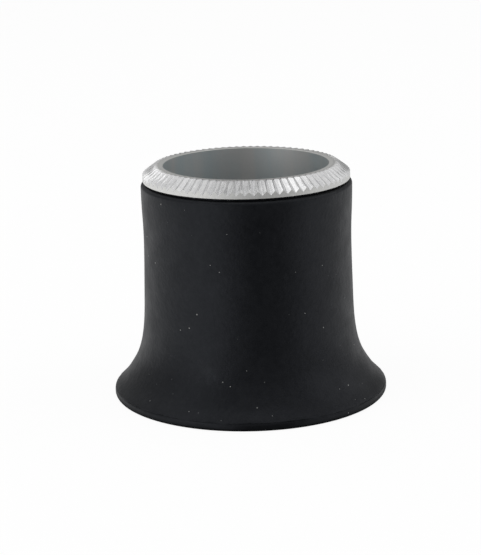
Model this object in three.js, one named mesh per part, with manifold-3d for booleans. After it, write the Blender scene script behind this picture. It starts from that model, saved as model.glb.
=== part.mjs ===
// Jeweller's eye loupe with a double lens, standing on the rim of its eyecup.
//
// A black moulded eyecup carries two plano-convex lenses, curved faces towards each other, held
// apart by a spacer. A knurled aluminium ring screws into the eyecup's mouth and clamps the lenses
// through a soft gasket. Undoing the ring frees the lenses for cleaning.
//
// Millimetres, +Z up. The origin is the centre of the rim's underside, and Z is the optical axis.

import * as THREE from "three";
import { mergeVertices } from "three/addons/utils/BufferGeometryUtils.js";
import Module from "manifold-3d";

const wasm = await Module();
wasm.setup();

// ---- Driving dimensions ----------------------------------------------------------------------

const RIM_RADIUS = 18.75; // widest point of the eyecup's lip
const EYECUP_HEIGHT = 29.4;
const WAIST_RADIUS = 14.1; // slimmest point of the barrel
const COLLAR_RADIUS = 14.27; // slight swell around the thread
const WALL = 1.75; // of the flare
const LIP_ROUND = 0.75;
const SHOULDER_ROUND = 0.8;
const MOUTH_CHAMFER = 0.3;

const RING_RADIUS = 14.0;
const RING_TOP = 31.75; // height of the whole loupe
const RING_BOTTOM = 29.8; // its underside stays just clear of the eyecup
const CLEAR_RADIUS = 11.2; // free aperture through the ring, spacer and lens seat
const LAND_RADIUS = 12.45; // flat top of the ring, out to the bevel
const BEVEL_BOTTOM = 30.6;
const FLUTES = 78;
const FLUTE_DEPTH = 0.42; // square to the bevel
const FLUTE_SHARE = 0.94; // of the pitch, the rest being a narrow crest
const EDGE_BREAK = 0.12; // taken off the ring's sharp edges

const PITCH = 1.0; // of the right-hand thread, per turn
const SLEEVE_LENGTH = 4.5; // from the ring's underside down to the gasket
const SLEEVE_RADIUS = 12.45; // root of the ring's thread
const THREAD_DEPTH = 0.5;
const THREAD_ROOT_WIDTH = 0.72;
const THREAD_CREST_WIDTH = 0.26;
const THREAD_CLEARANCE = 0.15; // radial
const FLANK_CLEARANCE = 0.1; // along the axis, on each flank
const THREAD_FADE = 0.12; // turns over which a thread's end rises to full height

const LENS_RADIUS = 12.2;
const LENS_EDGE = 1.2;
const LENS_SAG = 3.0; // height of the curved face
const LENS_BORE_RADIUS = 12.35;
const LENS_AIR_GAP = 1.0; // between the two curved faces, on the axis
const GASKET_THICKNESS = 0.5;
const GASKET_INNER_RADIUS = 11.45;
const SEAT_THICKNESS = 1.2; // of the ledge under the rear lens

const ROUND = FLUTES; // sides of the eyecup and ring, so that each flute has its own facet
const ROUND_INSIDE = FLUTES / 2; // sides of the inner pieces, and thread steps per turn
const ARC_STEPS = 6; // across a lens's curved face
const FLARE_STEPS = 14; // up the outside, from the lip to the collar
const HOLLOW_STEPS = 8; // up the inside of the flare
const EDGE_STEPS = 3; // around a rounded edge

// ---- Heights that follow ---------------------------------------------------------------------

const SLEEVE_BOTTOM = RING_BOTTOM - SLEEVE_LENGTH;
const FRONT_LENS_TOP = SLEEVE_BOTTOM - GASKET_THICKNESS;
const FRONT_VERTEX = FRONT_LENS_TOP - LENS_EDGE - LENS_SAG;
const REAR_VERTEX = FRONT_VERTEX - LENS_AIR_GAP;
const SEAT = REAR_VERTEX - LENS_SAG - LENS_EDGE;

const MATERIALS = {
  black_plastic: { color: 0x17181a, roughness: 0.55, metalness: 0.0 },
  aluminium: { color: 0xc9cacb, roughness: 0.38, metalness: 1.0 },
  black_rubber: { color: 0x0e0e0f, roughness: 0.8, metalness: 0.0 },
  black_anodised: { color: 0x1b1b1d, roughness: 0.5, metalness: 0.6 },
  glass: { color: 0xdfe9ea, roughness: 0.03, metalness: 0.0, transparent: true, opacity: 0.35 },
};

// ---- Helpers ---------------------------------------------------------------------------------

const point = (radius, height) => new THREE.Vector2(radius, height);

// A closed three.js geometry as a solid that can be joined and cut.
function solid(geometry) {
  const bare = new THREE.BufferGeometry().setAttribute("position", geometry.getAttribute("position"));
  bare.setIndex(geometry.index);
  const merged = mergeVertices(bare, 1e-4);
  return new wasm.Manifold(
    new wasm.Mesh({
      numProp: 3,
      vertProperties: merged.getAttribute("position").array,
      triVerts: new Uint32Array(merged.index.array),
    }),
  );
}

// The solid's triangles as a three.js geometry.
function geometryOf(body) {
  const mesh = body.getMesh();
  return new THREE.BufferGeometry()
    .setAttribute("position", new THREE.BufferAttribute(mesh.vertProperties, 3))
    .setIndex(new THREE.BufferAttribute(mesh.triVerts, 1));
}

// A closed outline of (radius, height) points, counterclockwise, turned about the Z axis.
// The first side starts on the +X axis.
function turned(outline, sides) {
  const closed = outline[0].x === 0 ? outline : [...outline, outline[0].clone()];
  return new THREE.LatheGeometry(closed, sides, Math.PI / 2).rotateX(Math.PI / 2);
}

// Points along part of a circle in the outline's plane. Angles are in degrees from the radius axis.
function arc(centre, radius, from, to, steps) {
  return Array.from({ length: steps + 1 }, (_, i) => {
    const angle = THREE.MathUtils.degToRad(from + ((to - from) * i) / steps);
    return point(centre.x + radius * Math.cos(angle), centre.y + radius * Math.sin(angle));
  });
}

// A helical ridge of trapezium section, as a bar bent round the Z axis. Both ends rise gradually.
function thread({ inner, root, crest, rootWidth, crestWidth, firstTurn, lastTurn, fade }) {
  const turns = lastTurn - firstTurn;
  const bar = new THREE.BoxGeometry(1, 1, 1, 1, Math.round(turns * ROUND_INSIDE), 1);
  const position = bar.getAttribute("position");
  for (let i = 0; i < position.count; i++) {
    const turn = firstTurn + (position.getY(i) + 0.5) * turns;
    const fromEnd = Math.min(turn - firstTurn, lastTurn - turn);
    const height = fade ? Math.min(1, fromEnd / THREAD_FADE) : 1;
    const onCrest = position.getX(i) > 0;
    const radius = onCrest ? THREE.MathUtils.lerp(root - 0.05, crest, height) : inner;
    const flank = (rootWidth - crestWidth) / 2 / (crest - root); // axial run per unit of radius
    const halfWidth = crestWidth / 2 + flank * (crest - radius);
    const angle = turn * 2 * Math.PI;
    const level = THREAD_START + turn * PITCH + Math.sign(position.getZ(i)) * halfWidth;
    position.setXYZ(i, radius * Math.cos(angle), radius * Math.sin(angle), level);
  }
  return bar;
}

function mesh(name, geometry, finish) {
  const made = new THREE.Mesh(geometry, new THREE.MeshStandardMaterial(MATERIALS[finish]));
  made.name = name;
  return made;
}

// ---- Thread, shared by the ring and the eyecup -----------------------------------------------

// The ridge's centre is this high at turn 0, and one pitch higher after each turn.
const THREAD_START = SLEEVE_BOTTOM + THREAD_ROOT_WIDTH / 2;
const wholeSteps = (turns) => Math.floor(turns * ROUND_INSIDE) / ROUND_INSIDE;
const RIDGE_TURNS = wholeSteps((SLEEVE_LENGTH - THREAD_ROOT_WIDTH) / PITCH);
const RELIEF_TURNS = wholeSteps(0.32); // of the groove, past the ridge's lower end
const ENTRY_TURNS = wholeSteps(0.94); // of the groove, past its upper end and out of the mouth
const EMBED = 0.2; // how far a ridge reaches into what it is joined to

const ridge = () =>
  thread({
    inner: SLEEVE_RADIUS - EMBED,
    root: SLEEVE_RADIUS,
    crest: SLEEVE_RADIUS + THREAD_DEPTH,
    rootWidth: THREAD_ROOT_WIDTH,
    crestWidth: THREAD_CREST_WIDTH,
    firstTurn: 0,
    lastTurn: RIDGE_TURNS,
    fade: true,
  });

const BORE_RADIUS = SLEEVE_RADIUS + THREAD_CLEARANCE; // crest of the eyecup's thread
const groove = () =>
  thread({
    inner: BORE_RADIUS - EMBED,
    root: BORE_RADIUS,
    crest: BORE_RADIUS + THREAD_DEPTH,
    rootWidth: THREAD_ROOT_WIDTH + 2 * FLANK_CLEARANCE,
    crestWidth: THREAD_CREST_WIDTH + 2 * FLANK_CLEARANCE,
    firstTurn: -RELIEF_TURNS,
    lastTurn: RIDGE_TURNS + ENTRY_TURNS,
    fade: false,
  });

// ---- Eyecup ----------------------------------------------------------------------------------

function eyecup() {
  // Outside, from the lip up: the flare, the waist and the collar at the mouth.
  const flare = new THREE.SplineCurve([
    point(RIM_RADIUS - 0.3, 1.35),
    point(RIM_RADIUS - 1.75, 2.95),
    point(RIM_RADIUS - 3.42, 5.9),
    point(WAIST_RADIUS + 0.4, 9.8),
    point(WAIST_RADIUS + 0.12, 16.0),
    point(WAIST_RADIUS, 22.0),
    point(COLLAR_RADIUS - 0.04, 26.2),
    point(COLLAR_RADIUS, 28.0),
  ]).getPoints(FLARE_STEPS);
  const shoulderCentre = point(COLLAR_RADIUS - SHOULDER_ROUND, EYECUP_HEIGHT - SHOULDER_ROUND);
  const shoulder = arc(shoulderCentre, SHOULDER_ROUND, 0, 90, EDGE_STEPS);
  const lip = arc(point(RIM_RADIUS - LIP_ROUND, LIP_ROUND), LIP_ROUND, -90, 30, EDGE_STEPS + 1);

  // Inside, from the mouth down: the thread's bore, the lens bore, the seat and the hollow flare.
  const bores = [
    point(BORE_RADIUS + MOUTH_CHAMFER, EYECUP_HEIGHT),
    point(BORE_RADIUS, EYECUP_HEIGHT - MOUTH_CHAMFER),
    point(BORE_RADIUS, FRONT_LENS_TOP),
    point(LENS_BORE_RADIUS, FRONT_LENS_TOP - (BORE_RADIUS - LENS_BORE_RADIUS)),
    point(LENS_BORE_RADIUS, SEAT),
    point(CLEAR_RADIUS, SEAT),
    point(CLEAR_RADIUS, SEAT - SEAT_THICKNESS),
  ];
  const hollow = new THREE.SplineCurve([
    point(WAIST_RADIUS - WALL, SEAT - SEAT_THICKNESS),
    point(WAIST_RADIUS + 0.45 - WALL, 9.4),
    point(RIM_RADIUS - 3.3 - WALL, 5.2),
    point(RIM_RADIUS - 1.7 - WALL, 2.2),
    point(RIM_RADIUS - 1.45, 0.3),
  ]).getPoints(HOLLOW_STEPS);
  const foot = [point(RIM_RADIUS - 1.2, 0)];

  const outline = [...foot, ...lip, ...flare, ...shoulder, ...bores, ...hollow];
  return solid(turned(outline, ROUND)).subtract(solid(groove()));
}

// ---- Knurled ring ----------------------------------------------------------------------------

// One straight V cut along the bevel, centred on a facet, longer than the bevel at both ends.
function fluteCutter() {
  const along = new THREE.Vector3(LAND_RADIUS - RING_RADIUS, 0, RING_TOP - BEVEL_BOTTOM).normalize();
  const outward = new THREE.Vector3(along.z, 0, -along.x);
  const across = new THREE.Vector3().crossVectors(outward, along);
  const reach = 2.5; // past the bevel, at each end
  const above = 0.6;
  const facetRadius = RING_RADIUS * Math.cos(Math.PI / ROUND);
  const halfWidth = FLUTE_SHARE * RING_RADIUS * Math.sin(Math.PI / FLUTES);
  const spread = (halfWidth * (FLUTE_DEPTH + above)) / FLUTE_DEPTH;
  const vee = new THREE.Shape([
    new THREE.Vector2(0, -FLUTE_DEPTH),
    new THREE.Vector2(spread, above),
    new THREE.Vector2(-spread, above),
  ]);
  const length = Math.hypot(RING_RADIUS - LAND_RADIUS, RING_TOP - BEVEL_BOTTOM) + 2 * reach;
  const start = new THREE.Vector3(facetRadius, 0, BEVEL_BOTTOM).addScaledVector(along, -reach);
  const place = new THREE.Matrix4().makeBasis(across, outward, along).setPosition(start);
  return new THREE.ExtrudeGeometry(vee, { depth: length, bevelEnabled: false }).applyMatrix4(place);
}

function knurledRing() {
  const outline = [
    point(CLEAR_RADIUS, SLEEVE_BOTTOM),
    point(SLEEVE_RADIUS - EDGE_BREAK, SLEEVE_BOTTOM),
    point(SLEEVE_RADIUS, SLEEVE_BOTTOM + EDGE_BREAK),
    point(SLEEVE_RADIUS, RING_BOTTOM),
    point(RING_RADIUS - EDGE_BREAK, RING_BOTTOM),
    point(RING_RADIUS, RING_BOTTOM + EDGE_BREAK),
    point(RING_RADIUS, BEVEL_BOTTOM),
    point(LAND_RADIUS, RING_TOP),
    point(CLEAR_RADIUS + EDGE_BREAK, RING_TOP),
    point(CLEAR_RADIUS, RING_TOP - EDGE_BREAK),
  ];
  const pitchAngle = (2 * Math.PI) / FLUTES;
  let ring = solid(turned(outline, ROUND));
  for (let i = 0; i < FLUTES; i++) {
    ring = ring.subtract(solid(fluteCutter().rotateZ((i + 0.5) * pitchAngle)));
  }
  return ring.add(solid(ridge()));
}

// ---- Lenses, spacer and gasket ---------------------------------------------------------------

const CURVE_RADIUS = (LENS_RADIUS ** 2 + LENS_SAG ** 2) / (2 * LENS_SAG);
const sagAt = (radius) => CURVE_RADIUS - Math.sqrt(CURVE_RADIUS ** 2 - radius ** 2);

// Plano-convex, with the curved face's vertex at the given height. up is 1 if that face looks up.
function lens(vertex, up) {
  const curve = Array.from({ length: ARC_STEPS + 1 }, (_, i) => {
    const radius = (LENS_RADIUS * i) / ARC_STEPS;
    return point(radius, vertex - up * sagAt(radius));
  });
  const flat = vertex - up * (LENS_SAG + LENS_EDGE);
  const outline = [...curve, point(LENS_RADIUS, flat), point(0, flat)];
  return turned(up > 0 ? outline.reverse() : outline, ROUND_INSIDE);
}

// Each end touches a lens along its inner edge.
function spacer() {
  const top = FRONT_VERTEX + sagAt(CLEAR_RADIUS);
  const bottom = REAR_VERTEX - sagAt(CLEAR_RADIUS);
  const outline = [
    point(CLEAR_RADIUS, bottom),
    point(LENS_RADIUS, bottom),
    point(LENS_RADIUS, top),
    point(CLEAR_RADIUS, top),
  ];
  return turned(outline, ROUND_INSIDE);
}

function gasket() {
  const outline = [
    point(GASKET_INNER_RADIUS, FRONT_LENS_TOP),
    point(LENS_RADIUS, FRONT_LENS_TOP),
    point(LENS_RADIUS, SLEEVE_BOTTOM),
    point(GASKET_INNER_RADIUS, SLEEVE_BOTTOM),
  ];
  return turned(outline, ROUND_INSIDE);
}

// ---- The loupe -------------------------------------------------------------------------------

const loupe = new THREE.Group();
loupe.add(
  mesh("eyecup_body", geometryOf(eyecup()), "black_plastic"),
  mesh("rear_lens", lens(REAR_VERTEX, 1), "glass"),
  mesh("lens_spacer", spacer(), "black_anodised"),
  mesh("front_lens", lens(FRONT_VERTEX, -1), "glass"),
  mesh("lens_gasket", gasket(), "black_rubber"),
  mesh("knurled_ring", geometryOf(knurledRing()), "aluminium"),
);

export default loupe;
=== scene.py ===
# Looks of a jeweller's eye loupe: fine meshes, materials, studio and camera round its CAD frame.
#
# Everything is in metres in the frame's own axes: +Z is the optical axis, and the loupe stands
# on the rim of its eyecup at z = 0. Sizes that the frame doesn't give are in millimetres x MM.

import math

import bmesh
import bpy
from mathutils import Matrix, Vector


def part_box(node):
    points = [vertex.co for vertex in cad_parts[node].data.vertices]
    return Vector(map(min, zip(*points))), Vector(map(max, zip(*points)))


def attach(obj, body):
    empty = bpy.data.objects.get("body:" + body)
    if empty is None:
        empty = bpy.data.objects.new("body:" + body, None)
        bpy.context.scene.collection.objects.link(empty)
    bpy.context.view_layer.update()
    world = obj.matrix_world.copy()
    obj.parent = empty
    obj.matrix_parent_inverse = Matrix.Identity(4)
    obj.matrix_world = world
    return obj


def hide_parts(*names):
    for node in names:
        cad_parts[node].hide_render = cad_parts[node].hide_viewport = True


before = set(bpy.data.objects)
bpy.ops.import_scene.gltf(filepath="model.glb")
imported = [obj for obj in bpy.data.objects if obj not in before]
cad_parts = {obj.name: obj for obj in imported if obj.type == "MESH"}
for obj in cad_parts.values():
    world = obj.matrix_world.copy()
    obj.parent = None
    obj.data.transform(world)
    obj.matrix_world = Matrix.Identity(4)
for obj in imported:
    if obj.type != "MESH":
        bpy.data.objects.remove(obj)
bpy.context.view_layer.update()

MM = 0.001
TURN = 2 * math.pi


# ---- Sizes from the frame --------------------------------------------------------------------

def reach(node):
    """(radius, bottom, top) of a CAD node that stands round the Z axis."""
    low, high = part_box(node)
    return high.x, low.z, high.z


RIM_RADIUS, _, CUP_HEIGHT = reach("eyecup_body")
RING_RADIUS, SLEEVE_BOTTOM, RING_TOP = reach("knurled_ring")
LENS_RADIUS, FRONT_VERTEX, FRONT_FLAT = reach("front_lens")
_, REAR_FLAT, REAR_VERTEX = reach("rear_lens")
SPACER_RADIUS, SPACER_BOTTOM, SPACER_TOP = reach("lens_spacer")
GASKET_RADIUS, GASKET_BOTTOM, GASKET_TOP = reach("lens_gasket")

# ---- Sizes of the details --------------------------------------------------------------------

CLEAR_RADIUS = 11.2 * MM  # free aperture through the ring, spacer and lens seat

WAIST_RADIUS = 14.1 * MM
COLLAR_RADIUS = 14.27 * MM
WALL = 1.75 * MM  # of the flare
LIP_ROUND = 0.75 * MM
FOOT_ROUND = 0.47 * MM  # of the lip's lower edge
SHOULDER_ROUND = 0.5 * MM
CREASE = 0.06 * MM  # mean step of the parting line on the lip
CREASE_SPAN = (0.02 * MM, 0.08 * MM)  # heights of its ends above the lip's arc
CREASE_WAVES = ((19, 0.4), (47, 0.3), (83, 0.3))  # (waves round the rim, share) that roughen it
SEAT_THICKNESS = 1.2 * MM
LENS_BORE_RADIUS = 12.35 * MM
MOUTH_CHAMFER = 0.3 * MM
BEAD_RADIUS = 13.4 * MM  # of the low bead round the mouth that closes the gap under the ring
BEAD_HEIGHT = 0.26 * MM
BEAD_CHAMFER = 0.05 * MM
CUP_TOP = CUP_HEIGHT + BEAD_HEIGHT

RING_BOTTOM = SLEEVE_BOTTOM + 4.5 * MM  # underside of the ring's head
LAND_RADIUS = 12.45 * MM
BEVEL_BOTTOM = RING_TOP - 1.15 * MM
FLUTES = 78
HALF_PITCH = TURN / FLUTES / 2  # angle from the middle of a flute to a crest
FLUTE_DEPTH = 0.41 * MM
FLUTE_HALF_WIDTH = 0.50 * MM
FLUTE_FLOOR = 0.04  # half-width of the flat at a flute's root, in half pitches
FLUTE_COLUMNS = (-1, -0.92, -0.5, -FLUTE_FLOOR, FLUTE_FLOOR, 0.5, 0.92)  # in half pitches too
EDGE_BREAK = 0.12 * MM

PITCH = 1.0 * MM  # of the thread
SLEEVE_RADIUS = 12.45 * MM
THREAD_DEPTH = 0.5 * MM
THREAD_ROOT = 0.72 * MM
THREAD_CREST = 0.26 * MM
THREAD_START = SLEEVE_BOTTOM + THREAD_ROOT / 2  # height of the thread at the X axis
THREAD_TURNS = 3.77
THREAD_FADE = 0.15  # turns over which each end rises
WHOLE_TURNS = range(-1, 6)  # all that may hold some of the thread or of its groove
THREAD_OFFSET = 0.02 * MM  # keeps the thread off the corners at the ends of its wall
GROOVE_OVERRUN = (0.31, 0.92)  # turns by which the groove outruns the thread, below and above
BORE_RADIUS = SLEEVE_RADIUS + 0.15 * MM
FLANK_CLEARANCE = 0.1 * MM

LENS_EDGE = 1.2 * MM  # thickness at the edge
LENS_BEVEL = 0.18 * MM
SPACER_RIDGES = 9
RIDGE_DEPTH = 0.18 * MM
GASKET_WIDTH = 0.75 * MM

COLUMNS = 216  # round the eyecup
INNER_COLUMNS = 108  # round each piece inside it
WELD = 1e-6  # points closer than this are one
SHARP_ANGLE = math.radians(32)  # edges sharper than this show as edges


# ---- Outlines --------------------------------------------------------------------------------

def arc(centre, radius, start, end, steps):
    """Points on part of a circle in the (radius, height) plane. Angles are in degrees."""
    points = []
    for i in range(steps + 1):
        angle = math.radians(start + (end - start) * i / steps)
        points.append((centre[0] + radius * math.cos(angle), centre[1] + radius * math.sin(angle)))
    return points


def spline(knots, steps):
    """A smooth curve through the knots, with this many steps between each two of them."""
    ends = [knots[0], *knots, knots[-1]]
    points = []
    for before, a, b, after in zip(ends, ends[1:], ends[2:], ends[3:]):
        for i in range(steps):
            t = i / steps
            points.append(tuple(
                q + 0.5 * t * (r - p + t * (2 * p - 5 * q + 4 * r - s + t * (3 * (q - r) + s - p)))
                for p, q, r, s in zip(before, a, b, after)
            ))
    return [*points, knots[-1]]


def rounded(corners, steps=4):
    """An open outline whose corners (radius, height, rounding) are turned into arcs."""
    points = [corners[0][:2]]
    for before, corner, after in zip(corners, corners[1:], corners[2:]):
        here = Vector(corner[:2])
        back = (Vector(before[:2]) - here).normalized()
        on = (Vector(after[:2]) - here).normalized()
        if not corner[2]:
            points.append(tuple(here))
            continue
        half = back.angle(on) / 2
        centre = here + (back + on).normalized() * corner[2] / math.sin(half)
        first = here + back * corner[2] / math.tan(half) - centre
        last = here + on * corner[2] / math.tan(half) - centre
        for i in range(steps + 1):
            spoke = first.lerp(last, i / steps).normalized() * corner[2]
            points.append(tuple(centre + spoke))
    return [*points, corners[-1][:2]]


# ---- Threads ---------------------------------------------------------------------------------

def thread_height(angle, height, root, crest, first, last):
    """How far out a point is on the thread: 0 beside it, 1 on its crest.

    The thread is root wide at its foot and crest wide on top, from the first turn to the last.
    """
    found = 0
    for whole in WHOLE_TURNS:
        turn = whole + angle / TURN
        level = THREAD_START + turn * PITCH
        flank = (root / 2 - abs(height - level)) / ((root - crest) / 2)
        rise = min(turn - first, last - turn) / THREAD_FADE
        found = max(found, min(flank, 1) * min(rise, 1) if flank > 0 and rise > 0 else 0)
    return found


def threaded(angle, wall, low, high, root, crest, first, last):
    """The outline up a threaded wall at this angle, with a point at each edge of each turn."""
    points = []
    for whole in WHOLE_TURNS:
        level = THREAD_START + (whole + angle / TURN) * PITCH
        for edge in (-root, -crest, crest, root):
            height = min(max(level + edge / 2, low), high)
            out = thread_height(angle, height, root, crest, first, last)
            points.append((wall + THREAD_DEPTH * out, height))
    return points


# ---- Meshes ----------------------------------------------------------------------------------

def even_angles(count):
    """Angles of this many columns, from 0 all the way round to 0 again."""
    return [TURN * i / count for i in range(count + 1)]


def turned(name, stretches_at, angles, closed=True):
    """A piece turned about the Z axis, whose outline may change with the angle.

    stretches_at(angle) gives the outline, counterclockwise, as (material, points) stretches.
    The strip of faces after a point has the material of the point's stretch. An outline that
    isn't closed starts and ends on the axis.
    """
    bm = bmesh.new()
    materials = []
    strips = []
    for material, points in stretches_at(angles[0]):
        if material not in materials:
            materials.append(material)
        strips += [materials.index(material)] * len(points)
    columns = []
    for angle in angles:
        outline = [p for _, points in stretches_at(angle) for p in points]
        across, along = math.cos(angle), math.sin(angle)
        columns.append([bm.verts.new((r * across, r * along, z)) for r, z in outline])
    rows = len(strips)
    for left, right in zip(columns, columns[1:]):
        for i in range(rows if closed else rows - 1):
            j = (i + 1) % rows
            face = bm.faces.new((left[i], right[i], right[j], left[j]))
            face.material_index = strips[i]
            face.smooth = True
    bmesh.ops.remove_doubles(bm, verts=bm.verts, dist=WELD)
    bmesh.ops.dissolve_degenerate(bm, edges=bm.edges, dist=WELD)
    for edge in bm.edges:
        edge.smooth = len(edge.link_faces) == 2 and edge.calc_face_angle() < SHARP_ANGLE
    mesh = bpy.data.meshes.new(name)
    bm.to_mesh(mesh)
    bm.free()
    for material in materials:
        mesh.materials.append(material)
    piece = bpy.data.objects.new(name, mesh)
    bpy.context.scene.collection.objects.link(piece)
    weighting = piece.modifiers.new("even_normals", "WEIGHTED_NORMAL")
    weighting.keep_sharp = True
    return piece


def turned_alike(name, stretches, closed=True):
    """A piece turned about the Z axis, with the same outline all round."""
    return turned(name, lambda angle: stretches, even_angles(INNER_COLUMNS), closed)


def declare(piece, body, node):
    """piece stands for the CAD node, which it hides, and moves with the body."""
    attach(piece, body)
    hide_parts(node)


# ---- Materials -------------------------------------------------------------------------------

GLASS_INDEX = 1.52
ONE_NOISE = (0.3, 0.7)  # where a noise mostly keeps
TWO_NOISES = (0.7, 1.3)  # where the sum of two mostly keeps
FAINTEST_SPECK = 0.1
SPECK_EDGE = 0.2  # share of the largest speck's radius over which each one fades


class Finish:
    """A material with one Principled shader, and short ways to add nodes to it."""

    def __init__(self, name, **sockets):
        self.material = bpy.data.materials.new(name)
        self.material.use_nodes = True
        self.tree = self.material.node_tree
        self.shader = self.tree.nodes["Principled BSDF"]
        for socket, value in sockets.items():
            self.shader.inputs[socket.replace("_", " ")].default_value = value
        self.place = self.node("ShaderNodeTexCoord").outputs["Object"]

    def node(self, kind, settings=None, **sockets):
        made = self.tree.nodes.new(kind)
        for setting, value in (settings or {}).items():
            setattr(made, setting, value)
        for socket, value in sockets.items():
            self.feed(made.inputs[socket.replace("_", " ")], value)
        return made

    def feed(self, socket, value):
        if isinstance(value, bpy.types.NodeSocket):
            self.tree.links.new(value, socket)
        else:
            socket.default_value = value

    def shade(self, **sockets):
        for socket, value in sockets.items():
            self.feed(self.shader.inputs[socket.replace("_", " ")], value)

    def math(self, operation, a, b=0.0):
        made = self.node("ShaderNodeMath", {"operation": operation})
        self.feed(made.inputs[0], a)
        self.feed(made.inputs[1], b)
        return made.outputs[0]

    def vector(self, operation, a, b=(0, 0, 0)):
        made = self.node("ShaderNodeVectorMath", {"operation": operation})
        self.feed(made.inputs[0], a)
        self.feed(made.inputs[1], b)
        return made.outputs["Value" if operation == "DOT_PRODUCT" else "Vector"]

    def noise(self, size, detail=2.0, where=None):
        """Noise with features of about this size, in metres."""
        made = self.node("ShaderNodeTexNoise", Scale=1 / size, Detail=detail)
        self.feed(made.inputs["Vector"], where or self.place)
        return made.outputs["Fac"]

    def lines(self, position, size, detail=3.0):
        """Noise along one position only, in metres, so that it draws lines across it."""
        one_way = {"noise_dimensions": "1D"}
        made = self.node("ShaderNodeTexNoise", one_way, Scale=1 / size, Detail=detail)
        self.feed(made.inputs["W"], position)
        return made.outputs["Fac"]

    def spread(self, value, low, high, to_low=0.0, to_high=1.0):
        """value's range from low to high, brought to another range and held inside it."""
        made = self.node(
            "ShaderNodeMapRange", From_Min=low, From_Max=high, To_Min=to_low, To_Max=to_high
        )
        self.feed(made.inputs["Value"], value)
        return made.outputs["Result"]

    def blend(self, share, a, b):
        """Colour a where share is 0, and b where it is 1."""
        made = self.node("ShaderNodeMix", {"data_type": "RGBA"})
        self.feed(made.inputs["Factor"], share)
        self.feed(made.inputs["A"], a)
        self.feed(made.inputs["B"], b)
        return made.outputs["Result"]

    def bump(self, *layers):
        """Bumps from (height, depth in metres) layers, one on the other."""
        normal = None
        for height, depth in layers:
            made = self.node("ShaderNodeBump", Strength=1.0, Distance=depth, Height=height)
            if normal:
                self.feed(made.inputs["Normal"], normal)
            normal = made.outputs["Normal"]
        self.shade(Normal=normal)

    def lie(self, way, centre):
        """How nearly the place lies this way from the centre: 1 when it does, -1 when opposite."""
        towards = self.vector("NORMALIZE", self.vector("SUBTRACT", self.place, centre))
        return self.vector("DOT_PRODUCT", towards, way)

    def drawn_out(self, stretch):
        """The place, squeezed along Z so that a texture read there comes out this much longer."""
        return self.vector("MULTIPLY", self.place, (1, 1, 1 / stretch))

    def polar(self):
        """(radius, distance round the axis at the ring's radius, height) of the place."""
        apart = self.node("ShaderNodeSeparateXYZ", Vector=self.place)
        x, y, z = (apart.outputs[i] for i in range(3))
        squares = [self.math("MULTIPLY", side, side) for side in (x, y)]
        radius = self.math("SQRT", self.math("ADD", *squares))
        round_it = self.math("MULTIPLY", self.math("ARCTAN2", y, x), RING_RADIUS)
        return radius, round_it, z


def colour(red, green, blue):
    return (red, green, blue, 1.0)


def specks(f, cell, radius, share, stretch=1.0):
    """Scattered specks, up to 1 inside and 0 outside: this share of the cells has one.

    The largest have this radius. The stretch draws them out along Z, into fibres.
    """
    cells = f.node("ShaderNodeTexVoronoi", Scale=1 / cell, Vector=f.drawn_out(stretch))
    chance = f.node("ShaderNodeSeparateColor", Color=cells.outputs["Color"])
    reach_here = f.spread(chance.outputs["Red"], 1 - share, 1, 0, radius / cell)
    depth_inside = f.math("SUBTRACT", reach_here, cells.outputs["Distance"])
    strength = f.spread(chance.outputs["Green"], 0, 1, FAINTEST_SPECK, 1)
    return f.math("MULTIPLY", f.spread(depth_inside, 0, SPECK_EDGE * radius / cell), strength)


def moulded_plastic():
    """The eyecup's skin: black and matte, mottled, with a fine moulded grain and a little dust."""
    f = Finish("moulded_plastic", Specular_IOR_Level=0.37, Specular_Tint=colour(0.84, 0.89, 1.0))
    clouds = f.math("ADD", f.noise(9 * MM, 3), f.noise(0.8 * MM, 4))
    mottle = f.spread(clouds, 0.8, 1.2)
    deep = f.blend(mottle, colour(0.0002, 0.0005, 0.0011), colour(0.0050, 0.0055, 0.0066))
    grains = specks(f, 1.1 * MM, 0.11 * MM, 0.6)
    fibres = specks(f, 2.0 * MM, 0.075 * MM, 0.5, stretch=5)
    f.shade(
        Base_Color=f.blend(f.math("MAXIMUM", grains, fibres), deep, colour(0.62, 0.62, 0.60)),
        Roughness=f.spread(f.noise(2.5 * MM, 4), *ONE_NOISE, 0.40, 0.50),
    )
    f.bump(
        (f.noise(0.11 * MM, 3), 0.008 * MM),
        (f.noise(0.5 * MM, 3), 0.035 * MM),
        (f.noise(1.6 * MM, 2), 0.025 * MM),
    )
    return f.material


def bore_plastic():
    """The eyecup's bores and thread, a little smoother than its skin."""
    f = Finish("bore_plastic", Specular_IOR_Level=0.35)
    radius, _, height = f.polar()
    marks = f.lines(f.math("ADD", radius, height), 0.12 * MM)
    f.shade(
        Base_Color=f.blend(marks, colour(0.006, 0.006, 0.007), colour(0.010, 0.010, 0.012)),
        Roughness=f.spread(f.noise(0.8 * MM, 3), *ONE_NOISE, 0.36, 0.5),
    )
    f.bump((marks, 0.006 * MM))
    return f.material


def turned_aluminium():
    """The ring's land, band and sleeve: fine marks round the axis from the lathe."""
    f = Finish("turned_aluminium", Metallic=1.0, Anisotropic=0.45)
    radius, _, height = f.polar()
    marks = f.lines(f.math("ADD", radius, height), 0.07 * MM, 4)
    tint = f.blend(f.noise(3 * MM, 3), colour(0.85, 0.85, 0.835), colour(0.93, 0.93, 0.91))
    f.shade(
        Base_Color=tint,
        Roughness=f.spread(f.math("ADD", marks, f.noise(0.5 * MM, 4)), *TWO_NOISES, 0.50, 0.62),
        Tangent=f.node("ShaderNodeTangent", {"direction_type": "RADIAL", "axis": "Z"}).outputs[0],
    )
    f.bump((marks, 0.004 * MM), (f.noise(0.05 * MM, 2), 0.0015 * MM))
    return f.material


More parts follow.
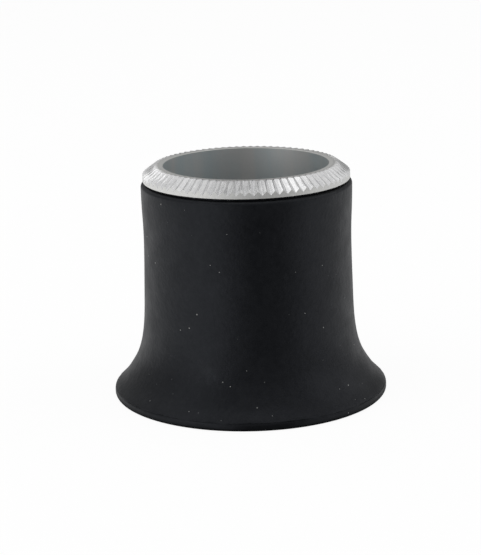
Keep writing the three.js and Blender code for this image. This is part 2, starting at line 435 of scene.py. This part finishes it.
def cut_aluminium():
    """The flutes and the bevel between them: brighter, with streaks along the cut."""
    f = Finish("cut_aluminium", Metallic=1.0)
    _, round_it, _ = f.polar()
    streaks = f.lines(round_it, 0.25 * MM, 4)
    patches = f.noise(0.8 * MM, 3)
    grain = f.noise(0.12 * MM, 4)
    wear = f.spread(f.math("ADD", streaks, patches), *TWO_NOISES)
    f.shade(
        Base_Color=f.blend(wear, colour(0.79, 0.79, 0.80), colour(0.98, 0.98, 0.98)),
        Roughness=f.spread(f.math("ADD", streaks, grain), *TWO_NOISES, 0.20, 0.30),
    )
    f.bump((streaks, 0.0022 * MM), (grain, 0.0004 * MM))
    return f.material


def blasted_aluminium():
    """The ring's bore: dull, so that it throws no glare into the lens, with tints round it."""
    f = Finish("blasted_aluminium", Metallic=1.0)
    _, _, height = f.polar()
    marks = f.lines(height, 0.16 * MM, 3)
    cloud = f.spread(f.noise(3.5 * MM, 3, where=f.drawn_out(5)), 0.35, 0.65)
    f.shade(
        Base_Color=f.blend(cloud, colour(0.70, 0.765, 0.78), colour(0.80, 0.80, 0.79)),
        Roughness=f.spread(f.noise(0.3 * MM, 3), *ONE_NOISE, 0.52, 0.62),
    )
    f.bump((f.noise(0.08 * MM, 3), 0.006 * MM), (marks, 0.004 * MM))
    return f.material


def anodised_black():
    """The spacer: dull black anodising over fine ridges."""
    f = Finish("anodised_black", Metallic=0.7)
    cloud = f.noise(1.5 * MM, 3)
    f.shade(
        Base_Color=f.blend(cloud, colour(0.010, 0.010, 0.011), colour(0.018, 0.018, 0.020)),
        Roughness=f.spread(f.noise(0.3 * MM, 3), *ONE_NOISE, 0.45, 0.6),
    )
    f.bump((f.noise(0.06 * MM, 2), 0.004 * MM))
    return f.material


def gasket_rubber():
    """Soft black rubber, dull and slightly pitted."""
    f = Finish("gasket_rubber", Specular_IOR_Level=0.3)
    cloud = f.noise(1 * MM, 3)
    f.shade(
        Base_Color=f.blend(cloud, colour(0.006, 0.006, 0.006), colour(0.011, 0.011, 0.011)),
        Roughness=f.spread(f.noise(0.4 * MM, 3), *ONE_NOISE, 0.65, 0.8),
    )
    f.bump((f.noise(0.07 * MM, 3), 0.012 * MM))
    return f.material


def polished_glass():
    """A lens's faces, with a trace of haze in places."""
    tint = colour(0.97, 0.985, 0.98)
    f = Finish("polished_glass", Transmission_Weight=1.0, IOR=GLASS_INDEX, Base_Color=tint)
    f.shade(Roughness=f.spread(f.noise(3 * MM, 3), 0.45, 0.75, 0.0, 0.03))
    return f.material


def ground_glass():
    """A lens's edge, ground dull."""
    tint = colour(0.75, 0.79, 0.78)
    f = Finish("ground_glass", Transmission_Weight=0.6, IOR=GLASS_INDEX, Base_Color=tint)
    f.shade(Roughness=f.spread(f.noise(0.1 * MM, 3), *ONE_NOISE, 0.5, 0.7))
    f.bump((f.noise(0.05 * MM, 2), 0.008 * MM))
    return f.material


# ---- Eyecup ----------------------------------------------------------------------------------

def lip_outline():
    """The rounded lip, up to the parting line."""
    foot = arc((RIM_RADIUS - FOOT_ROUND, FOOT_ROUND), FOOT_ROUND, -90, 0, 8)
    return foot + arc((RIM_RADIUS - LIP_ROUND, LIP_ROUND), LIP_ROUND, 0, 26, 5)


def skin_outline():
    """From the parting line up: flare, waist, collar, shoulder and the bead round the mouth."""
    flare = spline([
        (RIM_RADIUS - 0.30 * MM, 1.35 * MM),
        (RIM_RADIUS - 1.75 * MM, 2.95 * MM),
        (RIM_RADIUS - 3.42 * MM, 5.9 * MM),
        (WAIST_RADIUS + 0.4 * MM, 9.8 * MM),
        (WAIST_RADIUS + 0.12 * MM, 16.0 * MM),
        (WAIST_RADIUS, 22.0 * MM),
        (COLLAR_RADIUS - 0.04 * MM, 26.2 * MM),
        (COLLAR_RADIUS, 28.0 * MM),
    ], 6)
    shoulder_centre = (COLLAR_RADIUS - SHOULDER_ROUND, CUP_HEIGHT - SHOULDER_ROUND)
    shoulder = arc(shoulder_centre, SHOULDER_ROUND, 0, 90, 10)
    bead = [
        (BEAD_RADIUS, CUP_HEIGHT),
        (BEAD_RADIUS, CUP_TOP - BEAD_CHAMFER),
        (BEAD_RADIUS - BEAD_CHAMFER, CUP_TOP),
    ]
    return flare + shoulder + bead


def seat_outline(bottom):
    """Down from the bottom of the threaded bore: the lenses' bore, then their seat."""
    return rounded([
        (BORE_RADIUS, bottom, 0),
        (LENS_BORE_RADIUS, bottom - (BORE_RADIUS - LENS_BORE_RADIUS), 0.05 * MM),
        (LENS_BORE_RADIUS, REAR_FLAT, 0.02 * MM),
        (CLEAR_RADIUS, REAR_FLAT, 0.15 * MM),
        (CLEAR_RADIUS, REAR_FLAT - SEAT_THICKNESS, 0.15 * MM),
        (WAIST_RADIUS - WALL, REAR_FLAT - SEAT_THICKNESS, 0.3 * MM),
        (WAIST_RADIUS - WALL, REAR_FLAT - SEAT_THICKNESS - 1 * MM, 0),
    ])


def hollow_outline():
    """Down the inside of the flare, to the narrow foot that the loupe stands on."""
    hollow = spline([
        (WAIST_RADIUS - WALL + 0.05 * MM, REAR_FLAT - SEAT_THICKNESS - 1.2 * MM),
        (WAIST_RADIUS - WALL + 0.45 * MM, 9.4 * MM),
        (RIM_RADIUS - WALL - 3.3 * MM, 5.2 * MM),
        (RIM_RADIUS - WALL - 1.7 * MM, 2.2 * MM),
        (RIM_RADIUS - 1.45 * MM, 0.3 * MM),
    ], 8)
    return hollow + [(RIM_RADIUS - 1.36 * MM, 0.08 * MM), (RIM_RADIUS - 1.2 * MM, 0)]


def make_eyecup():
    """One moulding: a skin, a bore with the thread's groove, and the hollow below the seat."""
    skin, bore = moulded_plastic(), bore_plastic()
    lip, outside, inside = lip_outline(), skin_outline(), hollow_outline()
    lip_radius, lip_top = lip[-1]
    bottom, mouth = FRONT_FLAT, CUP_TOP - MOUTH_CHAMFER
    seat = seat_outline(bottom)
    root, crest = THREAD_ROOT + 2 * FLANK_CLEARANCE, THREAD_CREST + 2 * FLANK_CLEARANCE
    shape = (root, crest, -GROOVE_OVERRUN[0], THREAD_TURNS + GROOVE_OVERRUN[1])

    def stretches(angle):
        rough = 1 + sum(share * math.sin(waves * angle) for waves, share in CREASE_WAVES)
        behind = lip_radius - CREASE * rough
        crease = [(behind, lip_top + height) for height in CREASE_SPAN]
        groove = threaded(angle, BORE_RADIUS, bottom + THREAD_OFFSET, mouth, *shape)
        opened = max(THREAD_DEPTH * thread_height(angle, CUP_TOP, *shape), MOUTH_CHAMFER)
        return [
            (skin, lip + crease + outside),
            (bore, [(BORE_RADIUS + opened, CUP_TOP)] + groove[::-1] + seat),
            (skin, inside),
        ]

    piece = turned("eyecup_shell", stretches, even_angles(COLUMNS))
    declare(piece, "eyecup", "eyecup_body")


# ---- Knurled ring ----------------------------------------------------------------------------

def flute_angles():
    """Columns at the crest before each flute, and then across the flute from edge to edge."""
    middles = [HALF_PITCH * (2 * flute + 1) for flute in range(FLUTES)]
    columns = [HALF_PITCH * column for column in FLUTE_COLUMNS]
    return [*(middle + column for middle in middles for column in columns), TURN]


def fluted_bevel(angle):
    """The outline up the bevel at this angle: the band's top, a crest's edge, the land's edge.

    In each plane through the axis a flute's face is a straight line: a r + n z = c, like the
    bevel's own, so the outline is whichever of the two lies further in.
    """
    off = max(abs(angle % (2 * HALF_PITCH) - HALF_PITCH), HALF_PITCH * FLUTE_FLOOR)
    side = math.sin(off) * FLUTE_DEPTH / FLUTE_HALF_WIDTH
    a_bevel, n = Vector((RING_TOP - BEVEL_BOTTOM, RING_RADIUS - LAND_RADIUS)).normalized()
    a_flute = a_bevel * math.cos(off) - side
    c_bevel = a_bevel * RING_RADIUS + n * BEVEL_BOTTOM
    c_flute = c_bevel - FLUTE_DEPTH
    band = (RING_RADIUS, min(BEVEL_BOTTOM, (c_flute - a_flute * RING_RADIUS) / n))
    land = (min(LAND_RADIUS, (c_flute - n * RING_TOP) / a_flute), RING_TOP)
    meet = FLUTE_DEPTH / (a_bevel - a_flute)
    if LAND_RADIUS < meet < RING_RADIUS:
        middle = (meet, (c_bevel - a_bevel * meet) / n)
    else:
        middle = tuple((Vector(band) + Vector(land)) / 2)
    return [band, middle, land]


def make_ring():
    """The ring and its sleeve in one: bevelled, fluted and threaded."""
    lathe, cut, bore = turned_aluminium(), cut_aluminium(), blasted_aluminium()
    foot = rounded([
        (CLEAR_RADIUS, SLEEVE_BOTTOM + 1 * MM, 0),
        (CLEAR_RADIUS, SLEEVE_BOTTOM, EDGE_BREAK),
        (SLEEVE_RADIUS, SLEEVE_BOTTOM, EDGE_BREAK),
        (SLEEVE_RADIUS, SLEEVE_BOTTOM + 1 * MM, 0),
    ])[1:-1]
    head = rounded([
        (SLEEVE_RADIUS, RING_BOTTOM, 0),
        (RING_RADIUS, RING_BOTTOM, EDGE_BREAK / 2),
        (RING_RADIUS, BEVEL_BOTTOM, 0),
    ])[:-1]
    mouth = rounded([
        (LAND_RADIUS - 0.6 * MM, RING_TOP, 0),
        (CLEAR_RADIUS, RING_TOP, EDGE_BREAK),
        (CLEAR_RADIUS, RING_TOP - 1 * MM, 0),
    ])[:-1]
    low, high = SLEEVE_BOTTOM + 1.5 * EDGE_BREAK, RING_BOTTOM - THREAD_OFFSET
    shape = (THREAD_ROOT, THREAD_CREST, 0, THREAD_TURNS)

    def stretches(angle):
        ridge = threaded(angle, SLEEVE_RADIUS, low, high, *shape)
        band, crest, land = fluted_bevel(angle)
        return [
            (lathe, foot + ridge + head),
            (cut, [band, crest]),
            (lathe, [land] + mouth[:-1]),
            (bore, mouth[-1:]),
        ]

    piece = turned("fluted_ring", stretches, flute_angles())
    declare(piece, "ring", "knurled_ring")


# ---- Lenses, spacer and gasket ---------------------------------------------------------------

def make_lens(name, node, vertex, flat, polish, ground):
    """A plano-convex lens with bevelled, ground edges."""
    up = 1 if vertex > flat else -1
    sag = abs(vertex - flat) - LENS_EDGE
    curve_radius = (LENS_RADIUS ** 2 + sag ** 2) / (2 * sag)
    face_radius = LENS_RADIUS - LENS_BEVEL
    flat_steps, dome_steps = 6, 28

    def sag_at(radius):
        return curve_radius - math.sqrt(curve_radius ** 2 - radius ** 2)

    flats = [(face_radius * i / flat_steps, flat) for i in range(flat_steps + 1)]
    side = [
        (LENS_RADIUS, flat + up * LENS_BEVEL),
        (LENS_RADIUS, vertex - up * (sag + LENS_BEVEL / 3)),
    ]
    radii = [face_radius * (1 - i / dome_steps) for i in range(dome_steps + 1)]
    dome = [(r, vertex - up * sag_at(r)) for r in radii]
    lower, upper = flats, dome
    if up < 0:
        lower, side, upper = dome[::-1], side[::-1], flats[::-1]
    stretches = [(polish, lower[:-1]), (ground, [lower[-1]] + side), (polish, upper)]
    piece = turned_alike(name, stretches, closed=False)
    declare(piece, "eyecup", node)


def make_spacer():
    """A black ring whose bore is ridged, so that it throws no light across the lenses."""
    finish = anodised_black()
    plain = 0.5 * MM  # left at each end of the bore
    corner = EDGE_BREAK / 2
    rise = (SPACER_TOP - SPACER_BOTTOM - 2 * plain) / SPACER_RIDGES
    bore = []
    for i in range(SPACER_RIDGES):
        top = SPACER_TOP - plain - i * rise
        bore += [(CLEAR_RADIUS, top), (CLEAR_RADIUS + RIDGE_DEPTH, top - rise / 2)]
    bore.append((CLEAR_RADIUS, SPACER_BOTTOM + plain))
    side = rounded([
        (CLEAR_RADIUS, SPACER_BOTTOM + 0.3 * MM, 0),
        (CLEAR_RADIUS, SPACER_BOTTOM, corner),
        (SPACER_RADIUS, SPACER_BOTTOM, corner),
        (SPACER_RADIUS, SPACER_TOP, corner),
        (CLEAR_RADIUS, SPACER_TOP, corner),
        (CLEAR_RADIUS, SPACER_TOP - 0.3 * MM, 0),
    ])
    piece = turned_alike("ridged_spacer", [(finish, side + bore)])
    declare(piece, "eyecup", "lens_spacer")


def make_gasket():
    """A rubber washer with soft edges."""
    finish = gasket_rubber()
    inner = GASKET_RADIUS - GASKET_WIDTH
    softness = 0.16 * MM
    middle = (GASKET_BOTTOM + GASKET_TOP) / 2
    outline = rounded([
        (inner, middle, 0),
        (inner, GASKET_BOTTOM, softness),
        (GASKET_RADIUS, GASKET_BOTTOM, softness),
        (GASKET_RADIUS, GASKET_TOP, softness),
        (inner, GASKET_TOP, softness),
        (inner, middle, 0),
    ], 5)[:-1]
    piece = turned_alike("soft_gasket", [(finish, outline)])
    declare(piece, "gasket", "lens_gasket")


# ---- Studio ----------------------------------------------------------------------------------

# Sides are azimuths in degrees: 0 is the camera's side of the loupe and 90 is its right.

FLOOR_SIZE = 6.0
FLOOR_DROP = 0.02 * MM  # below the rim, so that they don't share a plane
FLOOR_LOOKS = 0.93  # brightness that the camera sees
FLOOR_THROWS = (0.56, 0.68)  # least and most light that it throws on the loupe, out of the shade
LIT_SIDE = -75  # where it throws most
LIT_EDGES = (0.0, 0.8)  # cosines of the spread from there, for the least and the most light
SHADED_SIDE = 19  # where the camera keeps light off it
SHADE_STARTS = (-2, 14 * MM)  # side and radius from which that shade spreads out
SHADE_EDGES = (0.66, 0.93)  # cosines of its spread, where it begins and where it is full
CONTACT_REACH = 2.2 * MM  # of the shade close to the rim
PANEL_DISTANCE = 0.55
WORLD_THROWS = 0.28  # brightness of the world as the loupe sees it

CAMERA_AZIMUTH = 0.93  # turns the studio and camera, so that the flutes stand as they should
CAMERA_ELEVATION = 14.784
CAMERA_DISTANCE = 249.2 * MM
CAMERA_AIM = 15 * MM  # height that it points at
CAMERA_ASKEW = (-0.250, 0.179, -1.277)  # pan, tilt and roll, in degrees
CAMERA_LENS = 118.03  # in millimetres, with a sensor 36 mm wide


def make_floor():
    """A pale floor, which throws less light back on the side of the loupe that faces the camera."""
    mesh = bpy.data.meshes.new("floor")
    half = FLOOR_SIZE / 2
    corners = [(-half, -half), (half, -half), (half, half), (-half, half)]
    mesh.from_pydata([(x, y, -FLOOR_DROP) for x, y in corners], [], [(0, 1, 2, 3)])
    f = Finish("pale_floor", Roughness=0.9, Specular_IOR_Level=0.1)
    seen = f.node("ShaderNodeLightPath").outputs["Is Camera Ray"]
    side, radius = SHADE_STARTS
    shaded = f.lie(direction(SHADED_SIDE, 0), direction(side, 0) * radius)
    unshaded = f.spread(shaded, *SHADE_EDGES, 1.0, 0.0)
    lit = f.lie(direction(LIT_SIDE, 0), (0, 0, 0))
    light = f.spread(lit, *LIT_EDGES, *FLOOR_THROWS)
    from_axis, _, _ = f.polar()
    clear = f.spread(from_axis, RIM_RADIUS, RIM_RADIUS + CONTACT_REACH)
    thrown = f.math("MULTIPLY", f.math("MULTIPLY", unshaded, light), clear)
    f.shade(
        Base_Color=f.blend(seen, colour(0.3, 0.3, 0.3), colour(0.12, 0.12, 0.12)),
        Emission_Color=colour(1, 1, 1),
        Emission_Strength=f.spread(seen, 0, 1, thrown, FLOOR_LOOKS),
    )
    mesh.materials.append(f.material)
    floor = bpy.data.objects.new("floor", mesh)
    bpy.context.scene.collection.objects.link(floor)


def direction(azimuth, elevation):
    """A unit vector to this side, and this many degrees up."""
    around, up = math.radians(azimuth + CAMERA_AZIMUTH), math.radians(elevation)
    level = math.cos(up)
    return Vector((math.sin(around) * level, -math.cos(around) * level, math.sin(up)))


def panel(name, azimuth, elevation, size, brightness):
    """A soft light panel of (width, height) that faces the loupe. Brightness 1 shows as white."""
    away = direction(azimuth, elevation)
    light = bpy.data.lights.new(name, "AREA")
    light.shape = "RECTANGLE"
    light.size, light.size_y = size
    light.energy = brightness * math.pi * size[0] * size[1]
    holder = bpy.data.objects.new(name, light)
    holder.location = Vector((0, 0, CUP_HEIGHT / 2)) + away * PANEL_DISTANCE
    holder.rotation_euler = (-away).to_track_quat("-Z", "Y").to_euler()
    holder.visible_camera = False
    bpy.context.scene.collection.objects.link(holder)


def make_lights():
    """Soft panels on both sides and above."""
    panel("left_low_panel", -47, 13, (0.27, 0.20), 1.3)
    panel("left_softbox", -58, 31, (0.42, 0.20), 0.30)
    panel("left_key", -78, 50, (0.36, 0.16), 0.52)
    panel("left_high_panel", -75, 64, (0.24, 0.18), 0.77)
    panel("left_fill", -115, 31, (0.50, 0.20), 0.31)
    panel("high_panel", 0, 66, (0.40, 0.18), 0.38)
    panel("right_softbox", 90, 26, (0.70, 0.26), 0.58)
    panel("right_high_panel", 75, 60, (0.32, 0.24), 0.42)
    panel("top_panel", 0, 90, (0.35, 0.35), 0.35)


def make_world():
    """Even grey light all round, on a background that looks white."""
    world = bpy.data.worlds.new("studio")
    world.use_nodes = True
    bpy.context.scene.world = world
    nodes, links = world.node_tree.nodes, world.node_tree.links
    nodes.clear()
    out = nodes.new("ShaderNodeOutputWorld")
    mix = nodes.new("ShaderNodeMixShader")
    seen = nodes.new("ShaderNodeLightPath")
    links.new(seen.outputs["Is Camera Ray"], mix.inputs[0])
    for slot, strength in ((1, WORLD_THROWS), (2, 1.0)):
        glow = nodes.new("ShaderNodeBackground")
        glow.inputs["Color"].default_value = colour(1, 1, 1)
        glow.inputs["Strength"].default_value = strength
        links.new(glow.outputs[0], mix.inputs[slot])
    links.new(mix.outputs[0], out.inputs["Surface"])


# ---- Camera ----------------------------------------------------------------------------------

def make_camera():
    """A long lens a quarter of a metre away, a little above the loupe, held slightly askew."""
    elevation = math.radians(CAMERA_ELEVATION)
    pan, tilt, roll = (math.radians(angle) for angle in CAMERA_ASKEW)
    camera = bpy.data.cameras.new("camera")
    camera.sensor_width = 36.0
    camera.lens = CAMERA_LENS
    holder = bpy.data.objects.new("camera", camera)
    away = Vector((0, -math.cos(elevation), math.sin(elevation)))
    place_it = Matrix.Translation(Vector((0, 0, CAMERA_AIM)) + away * CAMERA_DISTANCE)
    aim_it = Matrix.Rotation(math.pi / 2 - elevation, 4, "X")
    turns = ((-pan, "Y"), (tilt, "X"), (roll, "Z"))
    pan_it, tilt_it, roll_it = (Matrix.Rotation(angle, 4, axis) for angle, axis in turns)
    go_round = Matrix.Rotation(math.radians(CAMERA_AZIMUTH), 4, "Z")
    holder.matrix_world = go_round @ place_it @ aim_it @ pan_it @ tilt_it @ roll_it
    bpy.context.scene.collection.objects.link(holder)
    bpy.context.scene.camera = holder


make_camera()
make_eyecup()
make_ring()
glass, frosted = polished_glass(), ground_glass()
make_lens("front_lens_glass", "front_lens", FRONT_VERTEX, FRONT_FLAT, glass, frosted)
make_lens("rear_lens_glass", "rear_lens", REAR_VERTEX, REAR_FLAT, glass, frosted)
make_spacer()
make_gasket()
make_floor()
make_lights()
make_world()
bpy.context.scene.view_settings.view_transform = "Standard"
